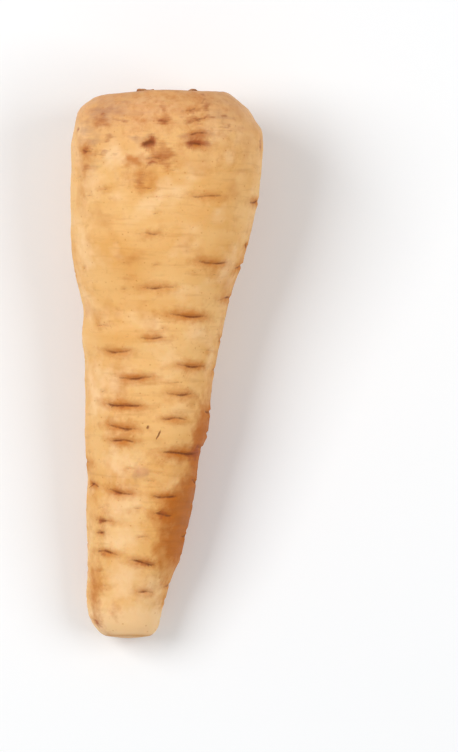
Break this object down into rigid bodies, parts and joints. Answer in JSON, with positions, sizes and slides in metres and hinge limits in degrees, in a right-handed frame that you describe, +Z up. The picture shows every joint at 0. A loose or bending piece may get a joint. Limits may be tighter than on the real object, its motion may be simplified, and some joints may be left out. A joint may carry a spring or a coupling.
{
  "type": "parsnip",
  "caption": "Stout tapering parsnip root with a wide hollow crown, cut leaf bases, cross furrows and a cut tip, lying on its side.",
  "frame": {"origin": "on the surface that the root lies on, below the middle of its bounding box", "axes": "+Y along the root from the cut tip towards the crown, +X across it, to the right when it is seen from above with the crown at the far end, +Z up"},
  "size_m": [0.0619, 0.1765, 0.0594],
  "materials": {
    "parsnip_skin": "matt washed vegetable skin with a faint moist sheen",
    "leaf_base": "dry, papery brown leaf base, paler where the knife cut it"
  },
  "bodies": {
    "root": {"parsnip_root": "parsnip_skin"}
  },
  "joints": []
}
